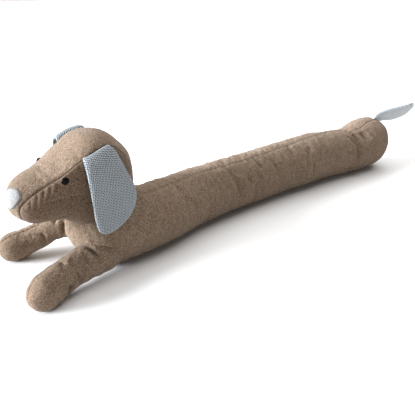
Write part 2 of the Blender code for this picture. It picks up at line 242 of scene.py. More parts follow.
RIGHT_LEG_TURN = 12
LEFT_LEG_SEED = 21
RIGHT_LEG_SEED = 25

# --- The ears and the tail -----------------------------------------------------------------------

FLAP_SPREAD = 0.8

EAR_GRID = (88, 190)
EAR_THICKNESS = 4.4
EAR_SEAM_ROWS = HEAD_SEAM[5:12]
EAR_RIM = 7
EAR_PADDING = 1.7
EAR_ASIDE = 55
EAR_TOP = 62
EAR_DROP = 104
EAR_SWING = 12
EAR_MIDDLE = (6, 56)
EAR_WAVES = (Wave(1.1, 70), Wave(0.35, 24))
EAR_WAVES_FROM = 30
LEFT_EAR_SEED = 31
RIGHT_EAR_SEED = 33
# How far inside and above its seam an ear starts, how high it rolls, and in how many mm it hangs.
EarLie = namedtuple("EarLie", "inset lift roll fall")
LEFT_EAR_LIE = EarLie(-1, 4, 1, 8)
RIGHT_EAR_LIE = EarLie(9, 0, 14.5, 11)

EarEdge = namedtuple("EarEdge", "along below")
EAR_EDGE = (
    EarEdge(-21.5, 18),
    EarEdge(-20, 12.8),
    EarEdge(-15, 11),
    EarEdge(-8, 8.5),
    EarEdge(1, 5.5),
    EarEdge(9, 3.6),
    EarEdge(15, 3.2),
    EarEdge(18.5, 6),
    EarEdge(24, 18),
    EarEdge(30, 35),
    EarEdge(36, 50),
    EarEdge(38, 65),
    EarEdge(34, 80),
    EarEdge(26, 91),
    EarEdge(14, 99),
    EarEdge(0, 105),
    EarEdge(-12, 106),
    EarEdge(-19, 101),
    EarEdge(-22, 88),
    EarEdge(-22, 70),
    EarEdge(-22, 50),
    EarEdge(-22, 30),
)

TAIL_GRID = (80, 150)
TAIL_PLACE = (320, -19, 107)
TAIL_LENGTH = 117
TAIL_MIDDLE = (58, 0)
TAIL_SAG = 6
TAIL_ROOT_DROP = 5
TAIL_ROOT_REACH = 36
TAIL_THICKNESS = 15
TAIL_RIM = 4
TAIL_RISE = 2
TAIL_TURN = -10
TAIL_ROLL = 56
TAIL_SEED = 41
TAIL_WAVES = (Wave(0.5, 30),)
TailEdge = namedtuple("TailEdge", "along side")
TAIL_EDGE = (
    TailEdge(-15, 7),
    TailEdge(-6, 13),
    TailEdge(34, 18),
    TailEdge(70, 20),
    TailEdge(98, 18.5),
    TailEdge(110, 14.5),
    TailEdge(116, 8),
    TailEdge(TAIL_LENGTH, 0),
    TailEdge(116, -8),
    TailEdge(110, -14.5),
    TailEdge(98, -18.5),
    TailEdge(70, -20),
    TailEdge(34, -18),
    TailEdge(-6, -10),
    TailEdge(-15, -6),
)

# --- The face ------------------------------------------------------------------------------------

EYE_GRID = (24, 48)
EYE_PLACE = (-390, 44, 148)
EYE_DIAMETER = 9.4
EYE_HEIGHT = 6
PATCH_GRID = (40, 120)
PATCH_PLACE = (-450, -8.5, 128)
PATCH_AHEAD = 60
PATCH_THICKNESS = 1.2
PATCH_RIM = 10
PATCH_GAP = 0.3
# The stitching's share of the way out, its width as such a share, and how deep it draws the felt.
PATCH_STITCH = 0.95
PATCH_STITCH_WIDTH = 0.03
PATCH_STITCH_DEPTH = 0.4
PatchEdge = namedtuple("PatchEdge", "aside above")
PATCH_EDGE = (
    PatchEdge(8, 9.5),
    PatchEdge(1.5, 12.5),
    PatchEdge(-7, 11),
    PatchEdge(-11, 6),
    PatchEdge(-11.5, -2),
    PatchEdge(-8, -9),
    PatchEdge(-1, -12.5),
    PatchEdge(5.5, -10.5),
    PatchEdge(9.5, -4.5),
    PatchEdge(10.5, 3),
)

# --- Settling the cloth --------------------------------------------------------------------------

SETTLE_FRAMES = 20
SETTLE_PRESSURE = 4.0
SETTLE_SLACK = 0.014
SETTLE_LIMIT = 3.0
BODY_SETTLE = 0.55
HEAD_SETTLE = 0.45
LEG_SETTLE = 0.5
FLOOR_TOUCH = 1.0

# --- Pressing in seams and creases ---------------------------------------------------------------

# Half-width of the dark seam line of thread and painted shade, in mm.
THREAD_AND_SHADE_HALF = 0.5
CAP_FADE = 1.4
# A crease bows by a share of its width, fades out a share of its way past each end, and has a low
# rim on both sides. The fold in its middle is narrower by FOLD_WIDTH.
CREASE_BOW = 0.16
CREASE_TAIL = 0.25
CREASE_RIM = 0.8
FOLD_DEPTH = 0.55
FOLD_WIDTH = 0.24
PUCKER_DRIFT = 1.3
PUCKER_DRIFT_PITCH = 1.7
RIPPLE_COUNT = 28

# A rounded cap gets rows for this many times its own length.
CAP_ROWS = 1.5
# Keeps a head panel's radius finite at its middle, where the reach is 0.
NEAREST_REACH = 0.05

# --- Colours, as they look on screen, and the weave ----------------------------------------------

WOOL_DARK = (86, 68, 54)
WOOL_PALE = (145, 126, 107)
WOOL_MIDDLE = (112, 93, 77)
WOOL_PALE_FLECK = (202, 188, 168)
WOOL_DARK_FLECK = (60, 45, 36)
# The seam line's colour: the thread, darkened further as painted shade of the seam's groove.
WOOL_THREAD_AND_SHADE = (52, 39, 31)
EAR_THREADS = ((48, 57, 64), (171, 176, 179))
# The tail is the ears' twill made paler: painted light on its lit top.
TAIL_THREADS_PAINTED_LIT = ((112, 119, 125), (222, 225, 227))
FELT_DARK = (128, 127, 125)
FELT_PALE = (146, 145, 143)
# The felt's sewn line: thread, darkened further as painted shade of the patch's edge.
FELT_THREAD_AND_SHADE = (74, 70, 68)
# These three are in linear light. The first is painted shade: the wool is multiplied by it on the
# head's side panels.
PAINTED_PANEL_SHADE = (0.66, 0.62, 0.60, 1.0)
EYE_DARK = (0.002, 0.0018, 0.0018, 1)
EYE_PALE = (0.006, 0.005, 0.005, 1)
# The twill's ridges and the floats along them, in metres, and the ways they run on the cloth.
TWILL_PITCH = 0.0028
TWILL_DASH = 0.0030
RIDGE_WAY = (0.79, -0.61)
DASH_WAY = (0.61, 0.79)

# --- The camera and the light --------------------------------------------------------------------

CAMERA_PLACE = (-0.547, -0.5274, 0.3488)
CAMERA_PITCH = 26.66
CAMERA_HEADING = 38.12
CAMERA_LENS = 37.25
KEY_FROM = (-0.875, 0.41, 0.25)
KEY_STRENGTH = 11.5
KEY_SOFTNESS = 32
KEY_COLOUR = (0.95, 1.0, 1.07)
TOP_FROM = (0.25, 0.38, 0.89)
TOP_STRENGTH = 4.2
TOP_SOFTNESS = 95
TOP_COLOUR = (1.0, 1.0, 1.0)
WALLS = (0.85, 0.84, 0.83)
CEILING = (0.05, 0.05, 0.05)
WALL_TOP = (0.05, 0.42)
FLOOR_COLOUR = (0.84, 0.83, 0.82)
FLOOR_HALF = 20.0


# --- Reading the tables --------------------------------------------------------------------------

def column(rows, name):
    return np.array([getattr(row, name) for row in rows], float)


def smooth(at, stations, values):
    """A smooth curve through (stations, values) read at many places, as the part's source does."""
    slopes = np.gradient(values, stations)
    i = np.clip(np.searchsorted(stations, at) - 1, 0, len(stations) - 2)
    span = stations[i + 1] - stations[i]
    t = np.clip((at - stations[i]) / span, 0.0, 1.0)
    start = (1 + 2 * t) * (1 - t) ** 2 * values[i] + t * (1 - t) ** 2 * span * slopes[i]
    end = t * t * (3 - 2 * t) * values[i + 1] + t * t * (t - 1) * span * slopes[i + 1]
    return start + end


def read(rows, at):
    """The rows of a table, each column read smoothly at many stations of its first column."""
    stations = column(rows, rows[0]._fields[0])
    return type(rows[0])(*(smooth(at, stations, column(rows, name)) for name in rows[0]._fields))


def outline(rows, fractions):
    """A closed outline's columns at fractions (0 to 1) of the way round it, and that way in mm."""
    values = np.array([tuple(row) for row in rows], float)
    looped = np.vstack([values[-2:], values, values[:3]])
    steps = np.linalg.norm(np.diff(looped[:, :2], axis=0), axis=1)
    stations = np.concatenate([[0.0], np.cumsum(steps)])
    first, last = stations[2], stations[len(rows) + 2]
    places = first + (last - first) * fractions
    columns = [smooth(places, stations, looped[:, k]) for k in range(values.shape[1])]
    return type(rows[0])(*columns), places - first


def capped(fraction, length, front, rear):
    """How far along a rounded form a ring lies, and how wide it is: 0 at both tips, 1 between."""
    whole = length + (CAP_ROWS - 1.0) * (front + rear)
    front_share, rear_share = CAP_ROWS * front / whole, CAP_ROWS * rear / whole
    front_turn = 0.5 * np.pi * np.clip(fraction / front_share, 0, 1)
    rear_turn = 0.5 * np.pi * np.clip((1.0 - fraction) / rear_share, 0, 1)
    middle = (fraction - front_share) / (1.0 - front_share - rear_share)
    along = front + (length - front - rear) * np.clip(middle, 0, 1)
    along = np.where(fraction < front_share, front * (1.0 - np.cos(front_turn)), along)
    along = np.where(fraction > 1.0 - rear_share, length - rear * (1.0 - np.cos(rear_turn)), along)
    return along, np.sin(front_turn) * np.sin(rear_turn)


# --- Fields over a grid --------------------------------------------------------------------------

def bell(off, width):
    """1 where `off` is 0, falling away to 0 over a few times `width`."""
    return np.exp(-(off / width) ** 2)


def ripples(points, wave, seed):
    """A smooth random field in about -1 to 1 at points (mm), with the wave's pitch and stretch."""
    rng = np.random.default_rng(seed)
    turned = points / np.array(wave.stretch)
    field = np.zeros(points.shape[:-1])
    for _ in range(RIPPLE_COUNT):
        way = rng.normal(size=3)
        way *= math.tau / (wave.pitch * rng.uniform(0.75, 1.5) * np.linalg.norm(way))
        field += np.sin(turned @ way + rng.uniform(0, math.tau))
    return field / math.sqrt(RIPPLE_COUNT)


def relief(points, waves, seed):
    """The random relief of several waves at points, in mm. Each wave has a seed of its own."""
    return sum(wave.height * ripples(points, wave, seed + k) for k, wave in enumerate(waves))


def groove_field(grooves, off_seam):
    """How far a seam's grooves draw the cloth in at a distance from it, in mm."""
    return sum(groove.depth * bell(off_seam, groove.width) for groove in grooves)


def crease_field(creases, along, angle):
    """How far its creases draw a form's cloth in at a place, in mm, with a sharp fold in each."""
    depth = np.zeros(np.broadcast(along, angle).shape)
    turned = (np.degrees(angle) + 180.0) % 360.0 - 180.0
    for crease in creases:
        across = (turned - crease.start) / (crease.end - crease.start)
        bow = CREASE_BOW * crease.width * np.sin(math.pi * across)
        centre = crease.along + crease.slant * across + bow
        q = ((along - centre) / crease.width) ** 2
        fold = bell(along - centre, FOLD_WIDTH * crease.width)
        way = (across + CREASE_TAIL) / (1.0 + 2.0 * CREASE_TAIL)
        fade = 0.5 - 0.5 * np.cos(math.tau * np.clip(way, 0, 1))
        hollow = (1.0 - CREASE_RIM * q) * np.exp(-q)
        depth += crease.depth * fade * (hollow + FOLD_DEPTH * fade * fold)
    return depth


def puckers(way, pitch):
    """Narrow, unevenly spaced folds, one in about `pitch` mm: 0 between them, 1 in them."""
    drift = PUCKER_DRIFT * np.sin(way / (PUCKER_DRIFT_PITCH * pitch))
    return (0.5 + 0.5 * np.cos(way * math.tau / pitch + drift)) ** 2


def tube_inward(creases, grooves, gathers, along, angle, off_seam, width):
    """How far a tube's creases, its seam and the puckers there draw its cloth in, in mm."""
    inward = crease_field(creases, along, angle) * np.clip(CAP_FADE * width, 0, 1)
    inward += groove_field(grooves, off_seam) * width
    near = bell(off_seam, gathers.reach)
    inward += gathers.depth * puckers(along, gathers.pitch) * near * width
    return inward


def normals_of(points):
    """Unit normals of a grid of points (rows, round it, 3), pointing outwards."""
    down = np.gradient(points, axis=0)
    round_it = np.roll(points, -1, axis=1) - np.roll(points, 1, axis=1)
    normal = np.cross(down, round_it)
    normal[0], normal[-1] = normal[1].mean(axis=0), normal[-2].mean(axis=0)
    normal /= np.maximum(np.linalg.norm(normal, axis=-1, keepdims=True), 1e-9)
    outwards = np.einsum("ijk,ijk->ij", normal, points - points.mean(axis=1, keepdims=True)).sum()
    return normal if outwards > 0 else -normal


def resample(values, rows, around):
    """A grid of values (rows, round it, ...) read smoothly on a finer grid of the same form."""
    def cubic(data, places, axis, closed):
        count = data.shape[axis]
        base = np.floor(places).astype(int)
        t = (places - base).reshape([-1 if k == axis else 1 for k in range(data.ndim)])
        taken = []
        for shift in (-1, 0, 1, 2):
            index = base + shift
            index = index % count if closed else np.clip(index, 0, count - 1)
            taken.append(np.take(data, index, axis=axis))
        a, b, c, d = taken
        return b + 0.5 * t * (c - a + t * (2 * a - 5 * b + 4 * c - d + t * (3 * (b - c) + d - a)))

    down = cubic(values, np.linspace(0, values.shape[0] - 1, rows), 0, False)
    return cubic(down, np.arange(around) * values.shape[1] / around, 1, True)


# --- Meshes --------------------------------------------------------------------------------------

def grid_faces(rows, around):
    """Quads between the rows of a grid, and fans at its first and last rows' single points."""
    inner = rows - 2
    steps = np.arange(around)
    after = (steps + 1) % around
    quads = []
    for row in range(inner - 1):
        low, high = 1 + row * around, 1 + (row + 1) * around
        quads.append(np.stack([low + steps, high + steps, high + after, low + after], axis=1))
    last = 1 + inner * around
    start = 1 + (inner - 1) * around
    first_fan = np.stack([np.zeros(around, int), 1 + steps, 1 + after], axis=1)
    last_fan = np.stack([np.full(around, last), start + after, start + steps], axis=1)
    return np.concatenate(quads), np.concatenate([first_fan, last_fan])


def unwound(grid):
    """A grid's values in the order of its mesh's points: one for each tip, the rest row by row."""
    return np.concatenate([grid[:1, 0], grid[1:-1].reshape((-1,) + grid.shape[2:]), grid[-1:, 0]])


def grid_mesh(name, points, cloth=None, thread_and_shade=None, painted_shade=None):
    """A closed mesh object from a grid of points in mm.

    `cloth` holds the cloth's own flat coordinates. The next grid says how near a point is to the
    seam's dark line of thread and painted shade, and the last how much painted shade darkens the
    head's side panels there, both from 0 to 1.
    """
    quads, fans = grid_faces(*points.shape[:2])
    mesh = bpy.data.meshes.new(name)
    mesh.from_pydata((unwound(points) * MM).tolist(), [], quads.tolist() + fans.tolist())
    if cloth is not None:
        places = mesh.attributes.new("cloth", "FLOAT_VECTOR", "POINT")
        places.data.foreach_set("vector", unwound(cloth * MM).ravel())
    for key, grid in (("thread_and_shade", thread_and_shade), ("painted_shade", painted_shade)):
        if grid is not None:
            mesh.attributes.new(key, "FLOAT", "POINT").data.foreach_set("value", unwound(grid))
    mesh.update()
    if mesh_volume(mesh) < 0:
        mesh.flip_normals()
    mesh.shade_smooth()
    thing = bpy.data.objects.new(name, mesh)
    bpy.context.scene.collection.objects.link(thing)
    return thing


def mesh_volume(mesh):
    mesh.calc_loop_triangles()
    corners = np.zeros(len(mesh.vertices) * 3)
    mesh.vertices.foreach_get("co", corners)
    index = np.zeros(len(mesh.loop_triangles) * 3, int)
    mesh.loop_triangles.foreach_get("vertices", index)
    a, b, c = corners.reshape(-1, 3)[index.reshape(-1, 3)].transpose(1, 0, 2)
    return float(np.einsum("ij,ij->", a, np.cross(b, c))) / 6


# --- Cloth simulation ----------------------------------------------------------------------------

def settle(points, held):
    """How cloth a little too large for a form moves when it is blown up and held, in mm.

    `held` is a grid of 0 (free) to 1 (sewn or lying on the floor).
    """
    cloth = grid_mesh("settling_cloth", points)
    grip = cloth.vertex_groups.new(name="held")
    for index, weight in enumerate(unwound(held).tolist()):
        grip.add([index], weight, "REPLACE")
    modifier = cloth.modifiers.new("cloth", "CLOTH")
    settings = modifier.settings
    settings.quality = 6
    settings.mass = 0.2
    settings.tension_stiffness = settings.compression_stiffness = 20
    settings.shear_stiffness = 6
    settings.bending_stiffness = 0.3
    settings.vertex_group_mass = grip.name
    settings.shrink_min = -SETTLE_SLACK
    settings.use_pressure = True
    settings.uniform_pressure_force = SETTLE_PRESSURE
    settings.effector_weights.gravity = 0.0
    modifier.point_cache.frame_end = SETTLE_FRAMES
    scene = bpy.context.scene
    for frame_number in range(1, SETTLE_FRAMES + 1):
        scene.frame_set(frame_number)
    settled = cloth.evaluated_get(bpy.context.evaluated_depsgraph_get()).data
    moved = np.zeros(len(settled.vertices) * 3)
    settled.vertices.foreach_get("co", moved)
    moved = moved.reshape(-1, 3) / MM
    rows, around = points.shape[:2]
    inner = moved[1:-1].reshape(rows - 2, around, 3)
    first, last = (np.tile(tip, (around, 1))[None] for tip in (moved[:1], moved[-1:]))
    offset = np.concatenate([first, inner, last]) - points
    size = np.linalg.norm(offset, axis=-1, keepdims=True)
    mesh = cloth.data
    bpy.data.objects.remove(cloth)
    bpy.data.meshes.remove(mesh)
    scene.frame_set(1)
    return offset * np.minimum(1.0, SETTLE_LIMIT / np.maximum(size, 1e-9))


def held_cloth(loose, off_seam, grip, tip_rows):
    """How firmly cloth is held: along its seam, at its tips and where it lies on the floor."""
    held = np.maximum(bell(off_seam, grip), loose[..., 2] < FLOOR_TOUCH)
    held[:2] = held[-tip_rows:] = 1.0
    return held


# --- Forms ---------------------------------------------------------------------------------------

def round_from_seam(around, bunch):
    """Angles round a form, counted from its seam, the closer there the nearer `bunch` is to 1."""
    share = np.arange(around)[None, :] / around
    return math.tau * share - bunch * np.sin(math.tau * share)


def seam_distance(step, radius):
    """How far points lie from the seam, in mm round a form of that radius."""
    return np.minimum(step, math.tau - step) * radius


def pressed(points, inward):
    """Points drawn in along their normals by `inward` mm."""
    return points - normals_of(points) * inward[..., None]


def on_floor(points):
    """Points with those under the floor lifted onto it."""
    return np.concatenate([points[..., :2], np.maximum(points[..., 2:], 0.0)], axis=-1)


def body_form(rows, around):
    """The body's smooth form, and where its points lie: along it, round it, and from its seam.

    The last value is how wide the form is there, 1 between its caps.
    """
    along, width = capped(np.linspace(0, 1, rows)[:, None], BODY_LENGTH, FRONT_CAP, REAR_CAP)
    section = read(BODY_SECTIONS, along)
    step = round_from_seam(around, BODY_BUNCH)
    angle = step + np.radians(section.seam)
    middle = 0.5 * section.height
    across = section.half_width * width * np.sin(angle)
    lift = (middle + BELLY_SINK * (np.cos(angle) < 0)) * width * np.cos(angle)
    rake = RUMP_RAKE * lift * np.clip(1.0 - (BODY_LENGTH - along) / RUMP_REACH, 0, None)
    rake -= CHEST_RAKE * lift * np.clip(1.0 - along / CHEST_REACH, 0, None)
    points = np.stack([BODY_FRONT + along + rake, section.aside - across, middle + lift], axis=-1)
    return points, *np.broadcast_arrays(along, angle, step, width)


def make_body(material):
    points, along, angle, step, width = body_form(*BODY_GRID)
    loose, _, _, loose_step, _ = body_form(*BODY_CLOTH_GRID)
    loose_off_seam = seam_distance(loose_step, BODY_RADIUS)
    held = held_cloth(loose, loose_off_seam, BODY_SEAM_GRIP, BODY_HELD_ROWS)
    points = points + BODY_SETTLE * resample(settle(loose, held), *BODY_GRID)

    off_seam = seam_distance(step, BODY_RADIUS)
    inward = tube_inward(BODY_CREASES, BODY_GROOVES, BODY_PUCKERS, along, angle, off_seam, width)
    inward -= relief(points, BODY_WAVES, BODY_SEED)
    drag = bell(along - DRAG_MIDDLE, DRAG_REACH)
    inward -= (WRINKLES.height + DRAG_WRINKLES * drag) * ripples(points, WRINKLES, WRINKLE_SEED)
    points = on_floor(pressed(points, inward))
    # The seam's dark line: thread and painted shade.
    thread_and_shade = BODY_THREAD_AND_SHADE * bell(off_seam, THREAD_AND_SHADE_HALF) * width
    return finish_piece(grid_mesh("body_tube", points, thread_and_shade=thread_and_shade), material, "body")


def head_form(grid):
    """The head's form: a grid from the middle of one side panel, over the strip, to the other's.

    Returns its points, how far out they lie on a panel (0 to 1) and across the strip (0 to 1),
    whether they are on the strip, how far round its seam in mm, and half the strip's width there.
    """
    panel_rows, strip_rows, around = grid
    total = 2 * (panel_rows + strip_rows)
    row = np.arange(total + 1)[:, None]
    seam, round_it = outline(HEAD_SEAM, np.arange(around) / around)
    line = np.stack([seam.along, seam.above], axis=-1)
    forward = np.roll(line, -1, axis=0) - np.roll(line, 1, axis=0)
    forward /= np.linalg.norm(forward, axis=-1, keepdims=True)
    outward = np.stack([-forward[:, 1], forward[:, 0]], axis=-1)
    side = np.where(row > total // 2, 1.0, -1.0)
    from_pole = np.minimum(row, total - row)
    share = np.sin(0.5 * np.pi * np.clip((total // 2 - from_pole) / strip_rows, 0, 1))
    reach = np.sin(0.5 * np.pi * np.clip(from_pole / panel_rows, 0, 1)) ** PANEL_SPREAD
    swell = np.clip(1.0 - reach**seam.fall[None, :], 0, 1) ** 0.5
    on_strip = from_pole > panel_rows
    crown = seam.crown[None, :] * np.clip(1.0 - share**2, 0, 1) ** CROWN_ROUNDNESS
    rise = np.where(on_strip, crown, 0.0)
    centre = np.array(PANEL_CENTRE, float)
    on_panel = centre + (line - centre)[None] * reach[..., None]
    flat = np.where(on_strip[..., None], line[None] + outward[None] * rise[..., None], on_panel)
    strip = seam.strip[None, :]
    aside = side * np.where(on_strip, strip * share, strip + (PANEL_BULGE - strip) * swell)
    points = np.stack([flat[..., 0], aside, flat[..., 1]], axis=-1) + np.array(HEAD_PLACE)
    return points, *np.broadcast_arrays(reach, share, on_strip, round_it[None], strip)


def make_head(material):
    points, reach, share, on_strip, round_it, strip = head_form(HEAD_GRID)
    loose, loose_reach, loose_share, _, _, _ = head_form(HEAD_CLOTH_GRID)
    held = np.clip(1.0 - PANEL_GRIP * np.abs(1.0 - loose_reach), 0, 1)
    held = held * np.clip(STRIP_GRIP * loose_share - (STRIP_GRIP - 1.0), 0, 1)
    points = points + HEAD_SETTLE * resample(settle(loose, held), *points.shape[:2])

    x, z = points[..., 0], points[..., 2]
    centre = np.array([HEAD_PLACE[0] + PANEL_CENTRE[0], HEAD_PLACE[2] + PANEL_CENTRE[1]])
    from_centre = np.linalg.norm(points[..., [0, 2]] - centre, axis=-1)
    panel_radius = from_centre / np.maximum(reach, NEAREST_REACH)
    off_seam = np.where(on_strip, (1.0 - share) * strip, (1.0 - reach) * panel_radius)

    inward = groove_field(HEAD_GROOVES, off_seam)
    muzzle = bell(x - MUZZLE_GATHER, MUZZLE_GATHER_REACH) * (z > MUZZLE_GATHER_BASE)
    gather = off_seam / GATHER_REACH * np.exp(1.0 - off_seam / GATHER_REACH)
    gather = gather * np.where(on_strip, STRIP_GATHER, 1.0)
    inward += SEAM_PUCKER * puckers(round_it, SEAM_PUCKER_PITCH) * gather
    way = x - MUZZLE_PUCKER_SLANT * z
    inward += MUZZLE_PUCKER * muzzle * puckers(way, MUZZLE_PUCKER_PITCH) * gather
    inward -= relief(points, HEAD_WAVES, HEAD_SEED)
    points = pressed(points, inward)
    # The seam's dark line: thread and painted shade.
    thread_and_shade = bell(off_seam, THREAD_AND_SHADE_HALF)
    # Painted shade: the side panels' wool is darker, fading in just past the seam.
    painted_shade = np.where(on_strip, 0.0, np.clip(off_seam / PAINTED_SHADE_EDGE, 0, 1))
    mesh = grid_mesh("head_form", points, thread_and_shade=thread_and_shade, painted_shade=painted_shade)
    return finish_piece(mesh, material, "head")


def leg_form(sections, turn, rows, around):
    """A foreleg along its own line on the floor, from the rounded foot to its root.

    The values after its points are as in body_form.
    """
    xy = np.array([(row.along, row.aside) for row in sections], float)
    stations = np.concatenate([[0.0], np.cumsum(np.linalg.norm(np.diff(xy, axis=0), axis=1))])

    def field(at, name):
        return smooth(at, stations, column(sections, name))

    at, width = capped(np.linspace(0, 1, rows)[:, None], stations[-1], LEG_CAP, LEG_ROOT_CAP)
    ahead = np.stack([field(at + 1, "along") - field(at - 1, "along"),
                      field(at + 1, "aside") - field(at - 1, "aside")], axis=-1)
    ahead /= np.linalg.norm(ahead, axis=-1, keepdims=True)
    step = round_from_seam(around, LEG_BUNCH)
    angle = step + math.radians(turn)
    base = field(at, "base")
    middle = 0.5 * (field(at, "top") - base)
    across = field(at, "half_width") * width * np.sin(angle)
    lift = (middle + LEG_SINK * (np.cos(angle) < 0)) * width * np.cos(angle)
    points = np.stack([field(at, "along") + across * ahead[..., 1],
                       field(at, "aside") - across * ahead[..., 0], base + middle + lift], axis=-1)
    return points, at, angle, step, width


def make_leg(node, sections, creases, turn, side, seed, material):
    points, at, angle, step, width = leg_form(sections, turn, *LEG_GRID)
    loose, _, _, loose_step, _ = leg_form(sections, turn, *LEG_CLOTH_GRID)
    held = held_cloth(loose, seam_distance(loose_step, LEG_RADIUS), LEG_SEAM_GRIP, LEG_HELD_ROWS)
    points = points + LEG_SETTLE * resample(settle(loose, held), *LEG_GRID)

    off_seam = seam_distance(step, LEG_RADIUS)
    inward = tube_inward(creases, LEG_GROOVES, LEG_PUCKERS, at, side * angle, off_seam, width)
    inward -= relief(points, LEG_WAVES, seed)
    points = on_floor(pressed(points, inward))
    # The seam's dark line: thread and painted shade.
    thread_and_shade = bell(off_seam, THREAD_AND_SHADE_HALF) * width
    return finish_piece(grid_mesh(f"{node}_form", points, thread_and_shade=thread_and_shade), material, node)


def flap_grid(edge_u, edge_v, middle, rows, thickness, rim):
    """A flat two-layer piece whose poles are the middles of its faces, and its depth there.

    A high `rim` is a blunt edge.
    """
    row = np.arange(rows + 1)[:, None]
    from_pole = np.minimum(row, rows - row)
    reach = np.sin(0.5 * np.pi * from_pole / (rows // 2)) ** FLAP_SPREAD
    half = 0.5 * thickness * (1.0 - reach**rim) ** 0.5
    side = np.where(row > rows // 2, 1.0, -1.0)
    u = middle[0] + (edge_u[None] - middle[0]) * reach
    v = middle[1] + (edge_v[None] - middle[1]) * reach
    return u, v, side * half + 0 * u


def ear_layer(strip, above, hung, lie):
    """An ear's middle layer `hung` mm of cloth below its root in the seam: mm aside, mm above."""
    fallen = hung / lie.fall
    root = strip - lie.inset
    aside = EAR_ASIDE + (root - EAR_ASIDE) * np.exp(-fallen) + EAR_SWING * hung / EAR_DROP
    rolled = lie.roll * fallen * np.exp(1.0 - fallen)
    return np.stack([aside, above + lie.lift * np.exp(-fallen) - hung + rolled], axis=-1)


def make_ear(node, side, lie, seed, material):
    rows, around = EAR_GRID
    edge, _ = outline(EAR_EDGE, np.arange(around) / around)
    along, below, depth = flap_grid(
        edge.along, edge.below, EAR_MIDDLE, rows, EAR_THICKNESS, EAR_RIM)
    seam = read(EAR_SEAM_ROWS, along)
    hung = np.clip(seam.above - (EAR_TOP - below), 0, None)
    here = ear_layer(seam.strip, seam.above, hung, lie)
    ahead = ear_layer(seam.strip, seam.above, hung + 1.0, lie) - here
    facing = np.stack([-ahead[..., 1], ahead[..., 0]], axis=-1)
    facing /= np.linalg.norm(ahead, axis=-1, keepdims=True)
    flat = np.stack([along, below, 0 * along], axis=-1)
    wave = relief(flat, EAR_WAVES, seed) * np.clip(hung / EAR_WAVES_FROM, 0, 1)
    bulge = np.where(depth > 0, EAR_PADDING, 1.0) * depth
    out = here + (bulge + wave)[..., None] * facing
    points = np.stack([along, side * out[..., 0], out[..., 1]], axis=-1) + np.array(HEAD_PLACE)
    return finish_piece(grid_mesh(f"{node}_flap", points, flat), material, node)


def make_tail(material):
    rows, around = TAIL_GRID
    edge, _ = outline(TAIL_EDGE, np.arange(around) / around)
    along, aside, depth = flap_grid(
        edge.along, edge.side, TAIL_MIDDLE, rows, TAIL_THICKNESS, TAIL_RIM)
    sag = TAIL_SAG * np.sin(math.pi * np.clip(along / TAIL_LENGTH, 0, 1))
    root = np.clip(1.0 - along / TAIL_ROOT_REACH, 0, None)
    flat = np.stack([along, aside, 0 * along], axis=-1)
    above = depth + relief(flat, TAIL_WAVES, TAIL_SEED) - sag - TAIL_ROOT_DROP * root**2
    points = np.stack([along, aside, above], axis=-1)
    turn = Matrix.Identity(3)
    for degrees, axis in ((TAIL_TURN, "Z"), (-TAIL_RISE, "Y"), (-TAIL_ROLL, "X")):
        turn = turn @ Matrix.Rotation(math.radians(degrees), 3, axis)
    points = points @ np.array(turn).T + np.array(TAIL_PLACE)
    return finish_piece(grid_mesh("tail_leaf", points, flat), material, "tail")


def make_eye(node, side, material):
    rows, around = EYE_GRID
    polar = math.pi * np.arange(rows + 1)[:, None] / rows
    angle = math.tau * np.arange(around)[None, :] / around
    ring = 0.5 * EYE_DIAMETER * np.sin(polar)
    dome = 0.5 * EYE_HEIGHT * side * np.cos(polar) + 0 * angle
    points = np.stack([ring * np.cos(angle), dome, ring * np.sin(angle)], axis=-1)
    points += np.array([EYE_PLACE[0], HEAD_PLACE[1] + side * EYE_PLACE[1], EYE_PLACE[2]])
    return finish_piece(grid_mesh(f"{node}_bead", points), material, node)


def make_patch(head, material):
    """The nose patch: rounded felt on the muzzle's tip, sewn down just inside its rim, where
    thread and painted shade darken it.
    """
    rows, around = PATCH_GRID
    surface = BVHTree.FromObject(head, bpy.context.evaluated_depsgraph_get())
    edge, _ = outline(PATCH_EDGE, np.arange(around) / around)
    row = np.arange(rows + 1)[:, None]
    reach = np.sin(0.5 * math.pi * np.minimum(row, rows - row) / (rows // 2))
    stitched = bell(reach - PATCH_STITCH, PATCH_STITCH_WIDTH)
    front = PATCH_THICKNESS * (1.0 - reach**PATCH_RIM) ** 0.5 - PATCH_STITCH_DEPTH * stitched
    rise = np.where(row <= rows // 2, front, 0.0) + PATCH_GAP
    flat = np.stack([edge.aside * reach, edge.above * reach, 0 * edge.above * reach], axis=-1)
    points = np.zeros_like(flat)
    ahead = PATCH_PLACE[0] - PATCH_AHEAD
    for k, step in np.ndindex(points.shape[:2]):
        aside, above, _ = flat[k, step]
        start = Vector((ahead, HEAD_PLACE[1] + PATCH_PLACE[1] + aside, PATCH_PLACE[2] + above))
        hit, normal, _, _ = surface.ray_cast(start * MM, Vector((1, 0, 0)))
        points[k, step] = np.array(hit) / MM + np.array(normal) * rise[k, 0]
    # The sewn line is darkened by thread and painted shade.
    thread_and_shade = stitched + 0 * edge.above
    mesh = grid_mesh("nose_felt", points, flat, thread_and_shade)
    return finish_piece(mesh, material, "nose_patch")


def finish_piece(piece, material, node):
    piece.data.materials.append(material)
    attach(piece, "root")
    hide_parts(node)
    return piece


# --- Materials -----------------------------------------------------------------------------------

